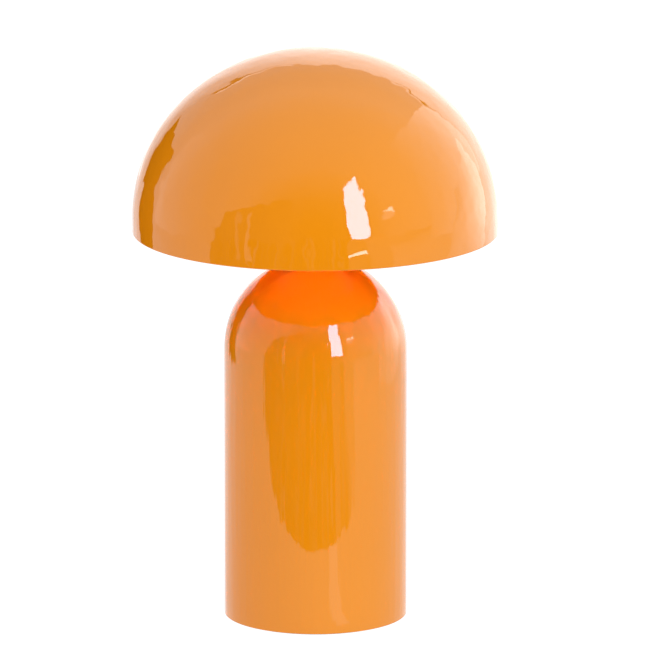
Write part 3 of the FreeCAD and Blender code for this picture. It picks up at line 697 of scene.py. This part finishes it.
def orange_lacquer(name, waves, wave_height, streaks, streak_height, stretch):
    """Sprayed gloss lacquer on spun sheet: faint drift in tone, waves of the sheet and fine orange peel."""
    finish = Finish(name, roughness=0.07, IOR=1.5)
    finish.colour(finish.noise(7, 3), (0.3, 0.675, 0.206, 0.0034), (0.7, 0.705, 0.216, 0.0038))
    finish.roughness(finish.noise(30, 2), 0.02, 0.045)
    finish.relief((finish.noise(waves, 1, stretch=stretch), wave_height),
                  (finish.noise(streaks, 1, stretch=stretch), streak_height),
                  (finish.noise(PEEL_CELLS, 1), PEEL_HEIGHT))
    return finish.material


def satin_nickel():
    """Satin plating with faint upright brushing."""
    finish = Finish("satin_nickel", roughness=0.3, metallic=1.0)
    finish.colour(finish.noise(60, 3), (0.3, 0.62, 0.60, 0.56), (0.7, 0.72, 0.70, 0.66))
    finish.roughness(finish.noise(300, 3, stretch=(1, 1, 6)), 0.22, 0.38)
    finish.relief((finish.noise(900, 2), 0.00001))
    return finish.material


def zinc_plate():
    """Zinc plating, its small crystals a little bluer or yellower."""
    finish = Finish("zinc_plate", roughness=0.4, metallic=1.0)
    finish.colour(finish.cells(260), (0.0, 0.52, 0.54, 0.58), (0.5, 0.64, 0.64, 0.63),
                  (1.0, 0.70, 0.68, 0.62))
    finish.roughness(finish.noise(180, 3), 0.3, 0.5)
    finish.relief((finish.noise(700, 2), 0.00001))
    return finish.material


def rough_casting():
    """Sand-cast iron: dark, dull and pitted."""
    finish = Finish("rough_casting", roughness=0.8, metallic=0.2)
    finish.colour(finish.noise(90, 4), (0.3, 0.045, 0.044, 0.045), (0.7, 0.095, 0.09, 0.085))
    finish.roughness(finish.noise(150, 3), 0.7, 0.9)
    finish.relief((finish.noise(260, 4, 0.6), 0.0003), (finish.noise(1400, 2), 0.0001))
    return finish.material


def pressed_felt():
    """Dark wool felt with a soft sheen and matted fibres."""
    finish = Finish("pressed_felt", roughness=0.95, Sheen_Weight=0.35, Sheen_Roughness=0.5)
    finish.colour(finish.noise(900, 4, 0.7), (0.3, 0.022, 0.022, 0.024), (0.75, 0.075, 0.074, 0.076))
    finish.relief((finish.noise(420, 3, 0.7, (1, 1, 3)), 0.0004), (finish.noise(2200, 2, 0.8), 0.0002))
    return finish.material


def moulded_rubber():
    """Black rubber, dull from the mould."""
    finish = Finish("moulded_rubber", roughness=0.6)
    finish.colour(finish.noise(350, 3), (0.3, 0.012, 0.012, 0.013), (0.7, 0.028, 0.028, 0.029))
    finish.roughness(finish.noise(500, 2), 0.5, 0.72)
    finish.relief((finish.noise(1300, 2), 0.00004))
    return finish.material


def milky_nylon():
    """White nylon that lets a little light in."""
    finish = Finish("milky_nylon", roughness=0.4, Subsurface_Weight=0.15, Subsurface_Scale=0.002)
    finish.colour(finish.noise(220, 2), (0.3, 0.76, 0.74, 0.68), (0.7, 0.83, 0.81, 0.76))
    finish.roughness(finish.noise(600, 2), 0.32, 0.5)
    finish.relief((finish.noise(900, 2), 0.00002))
    return finish.material


def black_moulding():
    """Black moulded plastic with a fine grain."""
    finish = Finish("black_moulding", roughness=0.36)
    finish.colour(finish.noise(160, 3), (0.3, 0.016, 0.016, 0.017), (0.7, 0.027, 0.027, 0.028))
    finish.roughness(finish.noise(420, 3), 0.28, 0.46)
    finish.relief((finish.noise(1500, 2), 0.00003))
    return finish.material


def bisque_ceramic():
    """Unglazed white ceramic with tiny dark specks."""
    finish = Finish("bisque_ceramic", roughness=0.6)
    finish.colour(finish.cells(700), (0.05, 0.55, 0.52, 0.47), (0.2, 0.78, 0.76, 0.71),
                  (1.0, 0.83, 0.81, 0.77))
    finish.roughness(finish.noise(400, 2), 0.5, 0.75)
    finish.relief((finish.noise(1000, 3), 0.00004))
    return finish.material


def drawn_brass():
    """Drawn brass, dulled in patches."""
    finish = Finish("drawn_brass", roughness=0.3, metallic=1.0)
    finish.colour(finish.noise(240, 4), (0.3, 0.52, 0.34, 0.12), (0.7, 0.74, 0.54, 0.24))
    finish.roughness(finish.noise(500, 3, stretch=(1, 1, 5)), 0.2, 0.42)
    finish.relief((finish.noise(1200, 2), 0.00001))
    return finish.material


def dull_solder():
    """A cast bead of solder."""
    finish = Finish("dull_solder", roughness=0.45, metallic=1.0)
    finish.colour(finish.noise(500, 3), (0.3, 0.42, 0.42, 0.43), (0.7, 0.60, 0.60, 0.61))
    finish.roughness(finish.noise(800, 2), 0.35, 0.6)
    finish.relief((finish.noise(500, 2), 0.00012))
    return finish.material


def vitreous_black():
    """Black glass insulator."""
    finish = Finish("vitreous_black", roughness=0.12)
    finish.colour(finish.noise(300, 2), (0.3, 0.008, 0.008, 0.010), (0.7, 0.018, 0.018, 0.020))
    finish.roughness(finish.noise(500, 2), 0.08, 0.2)
    finish.relief((finish.noise(400, 1), 0.00003))
    return finish.material


def rolled_alloy():
    """Thin bright sheet, rolled to a thread."""
    finish = Finish("rolled_alloy", roughness=0.28, metallic=1.0)
    finish.colour(finish.noise(200, 3), (0.3, 0.64, 0.63, 0.61), (0.7, 0.78, 0.77, 0.75))
    finish.roughness(finish.noise(700, 3, stretch=(1, 1, 4)), 0.18, 0.36)
    finish.relief((finish.noise(900, 2), 0.00001))
    return finish.material


def clear_glass():
    """Blown clear glass, very slightly uneven."""
    finish = Finish("clear_glass", roughness=0.0, Transmission_Weight=1.0, IOR=1.5)
    finish.colour(finish.noise(40, 2), (0.3, 0.97, 0.985, 0.98), (0.7, 0.985, 0.99, 0.985))
    finish.roughness(finish.noise(60, 2), 0.0, 0.012)
    finish.relief((finish.noise(45, 1), 0.00003))
    return finish.material


def phosphor_coat():
    """Yellow coating over a row of chips, which show as faint bands."""
    finish = Finish("phosphor_coat", roughness=0.5, Emission_Color=(1.0, 0.72, 0.36, 1),
                    Emission_Strength=12.0)
    finish.colour(finish.bands(160, "Z"), (0.0, 0.66, 0.40, 0.035), (0.6, 0.84, 0.56, 0.07),
                  (1.0, 0.88, 0.62, 0.10))
    finish.roughness(finish.noise(900, 2), 0.4, 0.62)
    finish.relief((finish.noise(1500, 2), 0.00006))
    return finish.material


def drawn_wire():
    """Thin tinned wire."""
    finish = Finish("drawn_wire", roughness=0.3, metallic=1.0)
    finish.colour(finish.noise(800, 3), (0.3, 0.48, 0.47, 0.46), (0.7, 0.66, 0.65, 0.64))
    finish.roughness(finish.noise(1500, 2), 0.22, 0.42)
    return finish.material


FINISH_OF_SLOT = {
    "orange_lacquer": orange_lacquer("shade_lacquer", waves=65, wave_height=0.00042, streaks=190,
                                     streak_height=0.000012, stretch=(1, 1, 1)),
    "nickel_plate": satin_nickel(),
    "zinc_steel": zinc_plate(),
    "iron_casting": rough_casting(),
    "dark_felt": pressed_felt(),
    "black_rubber": moulded_rubber(),
    "white_nylon": milky_nylon(),
    "black_holder": black_moulding(),
    "white_ceramic": bisque_ceramic(),
    "brass": drawn_brass(),
    "solder": dull_solder(),
    "black_glass": vitreous_black(),
    "bulb_cap_metal": rolled_alloy(),
    "clear_glass": clear_glass(),
    "yellow_phosphor": phosphor_coat(),
    "wire": drawn_wire(),
}
SLOT_OF_NODE = {row["node"]: row["material_slot"] for row in frame["record"]["subparts"]}
NODES_OF_BODY = frame["record"]["behaviour"]["bodies"]
BODY_OF_NODE = {node: body for body, nodes in NODES_OF_BODY.items() for node in nodes}


def dress_node(node):
    """Give a node that stays in sight the finish of its slot."""
    for slot in frame["nodes"][node].material_slots:
        slot.material = FINISH_OF_SLOT[SLOT_OF_NODE[node]]


def stand_for(node, *pieces):
    """Let new pieces take a node's place: its body, its slot and that slot's finish."""
    for piece in pieces:
        piece.data.materials.clear()
        piece.data.materials.append(FINISH_OF_SLOT[SLOT_OF_NODE[node]])
        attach(piece, BODY_OF_NODE[node])
        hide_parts(node)


# The lamp

for node in frame["nodes"]:
    dress_node(node)
base = spun_base()
stand_for("base_shell", base)
# The base's sheet was drawn upwards, so its waves are long and upright.
base.material_slots[0].material = orange_lacquer("base_lacquer", waves=170, wave_height=0.00026, streaks=320,
                                                 streak_height=0.00009, stretch=(1, 1, 0.06))
stand_for("cord_grommet", inlet_grommet())
felt = felt_foot()
stand_for("felt_pad", felt)
stand_for("plate_screws", *plate_screws())
stand_for("neck_collar", waisted_collar())
stand_for("shade_carrier", eased_copy("pressed_carrier", "shade_carrier", SHEET_EDGE))
stand_for("carrier_buttons", *seat_buttons())
stand_for("shade", spun_shade())
stand_for("shade_lugs", eased_copy("welded_lugs", "shade_lugs", SHEET_EDGE))
stand_for("holder_cap", holder_bowl())
stand_for("holder_skirt", holder_sleeve())
stand_for("bulb_cap", rolled_cap())
stand_for("bulb_glass", blown_envelope())


# Studio

# Floor, with its glow at two places in Y
FLOOR_SIZE = 60
FLOOR_TONE = 0.12
FLOOR_FAR_GLOW = (-1.8, 0.6)
FLOOR_NEAR_GLOW = (-0.7, 1.0)

# Cards
STUDIO_CENTRE = Vector((0, 0, 0.35))
CARD_DISTANCE = 2.5
FOOT_SHARE = 0.4
TABLE_EDGE = 0.325
FAR_FLOOR = 28.0
CARD_LIFT = 0.002
GLINT_HEIGHT = 0.225
RAY_DARK = 0.5
RAY_BRIGHT = 0.78

# Bulb's light
BULB_LIGHT = 7.5
BULB_LIGHT_COLOUR = (1.0, 0.60, 0.08)
BULB_LIGHT_CLEARANCE = 0.002

# Brightness of the air by depth, from -1 in front of the lamp to 1 behind it, and towards its bright side
AIR_STOPS = ((-1.0, 0.03), (-0.94, 0.12), (-0.87, 0.25), (-0.77, 0.52), (-0.64, 0.86), (-0.34, 1.08),
             (0.0, 1.2), (0.34, 1.45), (0.55, 1.1), (0.8, 0.95))
BRIGHT_AIR_AZIMUTH = 130
BRIGHT_AIR_NARROWNESS = 4.0
BRIGHT_AIR = 0.4


def direction(azimuth, elevation):
    """Unit vector, its azimuth counted from the camera's side towards +X, in degrees."""
    turn = math.radians(azimuth)
    rise = math.radians(elevation)
    return Vector((math.sin(turn) * math.cos(rise), -math.cos(turn) * math.cos(rise), math.sin(rise)))


def plain_surface(name, colour, emission=0.0, tint=(1, 1, 1)):
    """Matt studio surface that may glow."""
    material = bpy.data.materials.new(name)
    material.use_nodes = True
    shader = material.node_tree.nodes["Principled BSDF"]
    shader.inputs["Base Color"].default_value = (colour, colour, colour, 1)
    shader.inputs["Roughness"].default_value = 1.0
    shader.inputs["Specular IOR Level"].default_value = 0.0
    shader.inputs["Emission Color"].default_value = (*tint, 1)
    shader.inputs["Emission Strength"].default_value = emission
    return material


def glow_by(material, value, start, end):
    """Let a surface's glow run from one (value, strength) to another, and return the run."""
    nodes = material.node_tree.nodes
    links = material.node_tree.links
    spread = nodes.new("ShaderNodeMapRange")
    spread.inputs["From Min"].default_value = start[0]
    spread.inputs["From Max"].default_value = end[0]
    spread.inputs["To Min"].default_value = start[1]
    spread.inputs["To Max"].default_value = end[1]
    links.new(value, spread.inputs["Value"])
    links.new(spread.outputs["Result"], nodes["Principled BSDF"].inputs["Emission Strength"])
    return spread


def coordinates(material, place):
    """The separate coordinates of a place on a surface."""
    nodes = material.node_tree.nodes
    split = nodes.new("ShaderNodeSeparateXYZ")
    material.node_tree.links.new(nodes.new("ShaderNodeTexCoord").outputs[place], split.inputs["Vector"])
    return split.outputs


def run_across(material, left, right, foot):
    """Let a card's glow run from left to right and, above its foot, come up from a weaker glow."""
    place = coordinates(material, "UV")
    across = glow_by(material, place["X"], (0.0, left), (1.0, right))
    if foot is not None:
        upwards = glow_by(material, place["Y"], (0.0, foot), (FOOT_SHARE, right))
        material.node_tree.links.new(across.outputs["Result"], upwards.inputs["To Max"])


def thin_rays(material, count, glow):
    """Let a level card glow in thin rays that run away from the lamp."""
    nodes = material.node_tree.nodes
    links = material.node_tree.links
    place = coordinates(material, "Object")
    slope = nodes.new("ShaderNodeMath")
    slope.operation = "DIVIDE"
    links.new(place["X"], slope.inputs[0])
    links.new(place["Y"], slope.inputs[1])
    noise = nodes.new("ShaderNodeTexNoise")
    noise.noise_dimensions = "1D"
    noise.inputs["Scale"].default_value = count
    links.new(slope.outputs["Value"], noise.inputs["W"])
    glow_by(material, noise.outputs["Fac"], (RAY_DARK, 0.0), (RAY_BRIGHT, glow))


def clear_from_below(material):
    """Let a level surface be looked through from below."""
    nodes = material.node_tree.nodes
    links = material.node_tree.links
    mix = nodes.new("ShaderNodeMixShader")
    links.new(nodes.new("ShaderNodeNewGeometry").outputs["Backfacing"], mix.inputs["Fac"])
    links.new(nodes["Principled BSDF"].outputs["BSDF"], mix.inputs[1])
    links.new(nodes.new("ShaderNodeBsdfTransparent").outputs["BSDF"], mix.inputs[2])
    links.new(mix.outputs["Shader"], nodes["Material Output"].inputs["Surface"])


def floor():
    """Pale floor with a glow that is weaker far out in front."""
    bpy.ops.object.select_all(action="DESELECT")
    bpy.ops.mesh.primitive_plane_add(size=FLOOR_SIZE)
    ground = name_new("pale_floor")
    pale = plain_surface("pale_floor", FLOOR_TONE)
    pale.cycles.emission_sampling = "NONE"
    glow_by(pale, coordinates(pale, "Object")["Y"], FLOOR_FAR_GLOW, FLOOR_NEAR_GLOW)
    clear_from_below(pale)
    ground.data.materials.append(pale)


def card(name, corners, glow, fades_to=None, foot=None, rays=0, mirrored=True, shades=False, tint=(1, 1, 1)):
    """A studio card out of the camera's sight. The lacquer mirrors it, or it only lights or shades."""
    bpy.ops.object.select_all(action="DESELECT")
    bpy.ops.mesh.primitive_plane_add(size=1)
    sheet = name_new(name)
    for vertex, corner in zip(sheet.data.vertices, corners):
        vertex.co = corner
    surface = plain_surface(name, 0.0, glow, tint)
    if fades_to is not None:
        run_across(surface, glow, fades_to, foot)
    if rays:
        thin_rays(surface, rays, glow)
    if mirrored:
        surface.cycles.emission_sampling = "NONE"
    sheet.data.materials.append(surface)
    sheet.visible_camera = False
    sheet.visible_shadow = shades
    sheet.visible_glossy = mirrored
    sheet.visible_transmission = mirrored
    sheet.visible_diffuse = not mirrored
    return surface


def hung_card(name, corners, glow, distance=CARD_DISTANCE, **options):
    """A card hung round the lamp, with corners by azimuth and elevation as seen from the shade.

    The corners run low left, low right, top left, top right. A glow that fades runs from left to right.
    """
    card(name, [STUDIO_CENTRE + distance * direction(*corner) for corner in corners], glow, **options)


def level_card(name, left, right, near, far, height, glow, **options):
    """A level card in front, between two azimuths and two distances, that only shows from above."""
    corners = []
    for distance in (far, near):
        for azimuth in (left, right):
            corners.append(Vector((distance * math.tan(math.radians(azimuth)), -distance, height)))
    clear_from_below(card(name, corners, glow, **options))


def air_by_depth(nodes, links, place):
    """Brightness that changes from in front of the lamp to behind it."""
    split = nodes.new("ShaderNodeSeparateXYZ")
    links.new(place, split.inputs["Vector"])
    depth = nodes.new("ShaderNodeMapRange")
    depth.inputs["From Min"].default_value = -1
    links.new(split.outputs["Y"], depth.inputs["Value"])
    ramp = nodes.new("ShaderNodeValToRGB")
    while len(ramp.color_ramp.elements) < len(AIR_STOPS):
        ramp.color_ramp.elements.new(0.5)
    for element, (y, brightness) in zip(ramp.color_ramp.elements, AIR_STOPS):
        element.position = (y + 1) / 2
        element.color = (brightness, brightness, brightness, 1)
    links.new(depth.outputs["Result"], ramp.inputs["Fac"])
    return ramp.outputs["Color"]


def air_from_one_side(nodes, links, place):
    """Extra brightness towards one azimuth."""
    towards = nodes.new("ShaderNodeVectorMath")
    towards.operation = "DOT_PRODUCT"
    towards.inputs[1].default_value = direction(BRIGHT_AIR_AZIMUTH, 0)
    links.new(place, towards.inputs[0])
    glow = towards.outputs["Value"]
    for operation, value in (("MAXIMUM", 0.0), ("POWER", BRIGHT_AIR_NARROWNESS), ("MULTIPLY", BRIGHT_AIR)):
        step = nodes.new("ShaderNodeMath")
        step.operation = operation
        step.inputs[1].default_value = value
        links.new(glow, step.inputs[0])
        glow = step.outputs["Value"]
    return glow


def studio_air():
    """Soft light from all round: dim in front, brighter at the sides and behind, most on the right.

    The camera itself sees plain white air.
    """
    world = bpy.data.worlds.new("studio_air")
    bpy.context.scene.world = world
    world.use_nodes = True
    nodes = world.node_tree.nodes
    links = world.node_tree.links
    nodes.clear()
    place = nodes.new("ShaderNodeTexCoord").outputs["Generated"]
    total = nodes.new("ShaderNodeMath")
    links.new(air_by_depth(nodes, links, place), total.inputs[0])
    links.new(air_from_one_side(nodes, links, place), total.inputs[1])
    soft = nodes.new("ShaderNodeBackground")
    soft.inputs["Color"].default_value = (1, 1, 1, 1)
    links.new(total.outputs["Value"], soft.inputs["Strength"])
    white = nodes.new("ShaderNodeBackground")
    white.inputs["Color"].default_value = (1, 1, 1, 1)
    mix = nodes.new("ShaderNodeMixShader")
    links.new(nodes.new("ShaderNodeLightPath").outputs["Is Camera Ray"], mix.inputs["Fac"])
    links.new(soft.outputs["Background"], mix.inputs[1])
    links.new(white.outputs["Background"], mix.inputs[2])
    out = nodes.new("ShaderNodeOutputWorld")
    links.new(mix.outputs["Shader"], out.inputs["Surface"])


def camera():
    """Long lens at the photograph's angle, aimed a little to the right of and above the lamp's middle."""
    elevation = 13.0
    distance = 8.0
    pixels_per_metre = 1306.0
    image_size = 650
    aim_right = 0.0073
    aim_up = 0.0072
    lamp_middle = Vector((0, 0, 0.220))
    towards_camera = direction(0, elevation)
    image_up = direction(180, 90 - elevation)
    target = lamp_middle + Vector((aim_right, 0, 0)) + aim_up * image_up
    lens = bpy.data.cameras.new("camera")
    eye = bpy.data.objects.new("camera", lens)
    bpy.context.scene.collection.objects.link(eye)
    eye.location = target + distance * towards_camera
    eye.rotation_euler = (-towards_camera).to_track_quat("-Z", "Y").to_euler()
    lens.lens = lens.sensor_width * distance * pixels_per_metre / image_size
    bpy.context.scene.camera = eye


def bulb_glow():
    """The bulb's light, from just outside its glass so that the glass throws no shadow."""
    lamp = bpy.data.lights.new("bulb_glow", "POINT")
    lamp.energy = BULB_LIGHT
    lamp.color = BULB_LIGHT_COLOUR
    lamp.shadow_soft_size = reach("bulb_glass") + BULB_LIGHT_CLEARANCE
    glow = bpy.data.objects.new("bulb_glow", lamp)
    bpy.context.scene.collection.objects.link(glow)
    glow.location = (0, 0, top("bulb_glass") - reach("bulb_glass"))
    glow.visible_camera = False
    glow.visible_glossy = False
    glow.visible_transmission = False


floor()
bulb_glow()
studio_air()
hung_card("tall_window", ((20.3, -3), (33.5, -2.5), (18, 33), (31.5, 40)), 18.5, tint=(1, 0.72, 1))
hung_card("back_drop_left", ((-180, -15), (-151, -15), (-180, 43), (-150.5, 28)), 2.2, fades_to=1.1)
hung_card("back_drop_right", ((139, -15), (180, -15), (141, 28), (180, 43)), 2.3, fades_to=2.2)
hung_card("drop_rail_left", ((-168, 37.5), (-150, 24.5), (-168, 38), (-147, 30.5)), 0.1)
hung_card("drop_rail_right", ((141.5, 27.5), (160, 36.5), (140.5, 30), (160, 37)), 0.1)
hung_card("drop_edge_left", ((-172, 40.5), (-147, 30.5), (-172, 41.5), (-146, 32)), 2.4)
hung_card("drop_edge_right", ((140.5, 30), (172, 40.5), (139.5, 31.5), (172, 41.5)), 2.4)
hung_card("bright_side", ((84, -20.5), (126.5, -20.5), (98, 10), (129, 19)), 1.4, fades_to=4.4, foot=1.5,
          distance=1.0)
hung_card("pale_side", ((75, -12), (141, -12), (75, 50), (139.5, 31)), 1.25, fades_to=3.2)
hung_card("pale_side_left", ((-117, -12), (-66, -12), (-117, 35), (-66, 35)), 1.6, fades_to=1.0)
hung_card("low_drop_right", ((126.5, -20.5), (180, -20.5), (129, 3), (180, 3)), 2.3, fades_to=1.8, foot=1.2,
          distance=1.0)
hung_card("dark_flag", ((-136, -20.5), (-117, -20.5), (-143, 17.5), (-118, 17.5)), 0, distance=1.0)
hung_card("pale_post_left", ((-48.3, -16.5), (-45.8, -16.5), (-48.3, 11), (-45.8, 11)), 0.55, distance=1.2)
hung_card("pale_post_right", ((-41, -16.5), (-38.3, -16.5), (-41, 12), (-38.3, 12)), 0.9, distance=1.2)
hung_card("overhead_flag", ((-135, 55), (135, 55), (-45, 55), (45, 55)), 0, mirrored=False, shades=True)
hung_card("soft_fill_front", ((-35, 15), (30, 15), (-35, 62), (30, 62)), 2.72, mirrored=False,
          tint=(1, 1.05, 1))
hung_card("soft_fill_right", ((28, 2), (76, 2), (28, 48), (76, 48)), 2.5, mirrored=False,
          tint=(0.97, 1.16, 1))
hung_card("side_flag_left", ((-125, -2), (-60, -2), (-125, 55), (-60, 55)), 0.7, mirrored=False, shades=True)
hung_card("side_flag_right", ((80, -2), (130, -2), (80, 55), (130, 55)), 0.3, mirrored=False, shades=True)
hung_card("dark_wall", ((-62, -4), (-15, -4), (-58, 10), (-15, 26)), 0.12)
hung_card("small_pane", ((44.3, 13.6), (48.9, 13.6), (46.5, 16.4), (49.7, 16.7)), 8.5)
hung_card("small_pane_foot", ((44.0, 9.2), (48.1, 9.2), (44.3, 13.6), (48.9, 13.6)), 2.0)
level_card("dark_floor", -66, 30, TABLE_EDGE, FAR_FLOOR, CARD_LIFT, 0.55, rays=18)
level_card("window_near", 15, 26, 0.08, TABLE_EDGE, CARD_LIFT, 1.8)
level_card("dim_floor", 30, 47, TABLE_EDGE, FAR_FLOOR, CARD_LIFT, 0.0, fades_to=0.7)
level_card("window_on_floor", 20, 31, TABLE_EDGE, FAR_FLOOR, 2 * CARD_LIFT, 0.4)
level_card("window_glint", 18.7, 29.6, 0.50, 0.585, GLINT_HEIGHT, 12)
camera()
bpy.context.scene.view_settings.view_transform = "Standard"
